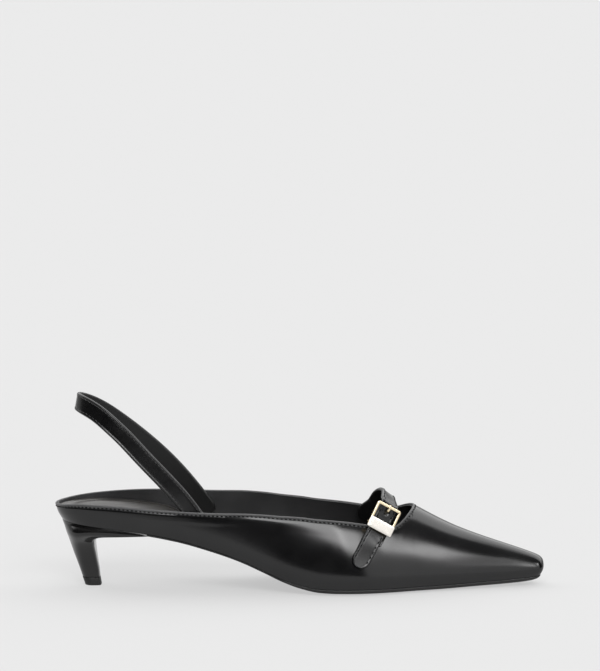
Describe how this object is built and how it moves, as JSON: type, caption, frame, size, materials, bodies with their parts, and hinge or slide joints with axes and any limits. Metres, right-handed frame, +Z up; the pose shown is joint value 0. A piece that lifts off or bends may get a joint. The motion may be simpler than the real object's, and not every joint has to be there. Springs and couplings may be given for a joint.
{
  "type": "slingback pump",
  "caption": "Right slingback pump in smooth black leather: pointed squared toe, kitten heel, sling strap and a narrow instep strap with a pale gold buckle.",
  "frame": {"origin": "on the floor, under the middle of the shoe's length and width", "axes": "+X towards the toe, +Y towards the inner side of the foot, +Z up"},
  "size_m": [0.265, 0.076, 0.1052],
  "materials": {
    "upper_leather": "smooth, semi-gloss black",
    "lining": "matt dark grey lining and heel sock",
    "sole": "smooth satin black",
    "heel_cover": "smooth, semi-gloss black",
    "top_lift": "matt black",
    "strap_leather": "smooth black, stitched edges",
    "buckle_metal": "polished pale gold",
    "plate_metal": "satin white gold"
  },
  "bodies": {
    "root": {"upper": "upper_leather", "insole": "lining", "outsole": "sole", "heel": "heel_cover", "top_lift": "top_lift", "sling_strap": "strap_leather", "instep_strap": "strap_leather", "buckle_tab": "strap_leather", "buckle_frame": "buckle_metal", "buckle_plate": "plate_metal", "buckle_bar": "buckle_metal", "buckle_prong": "buckle_metal"}
  },
  "joints": []
}
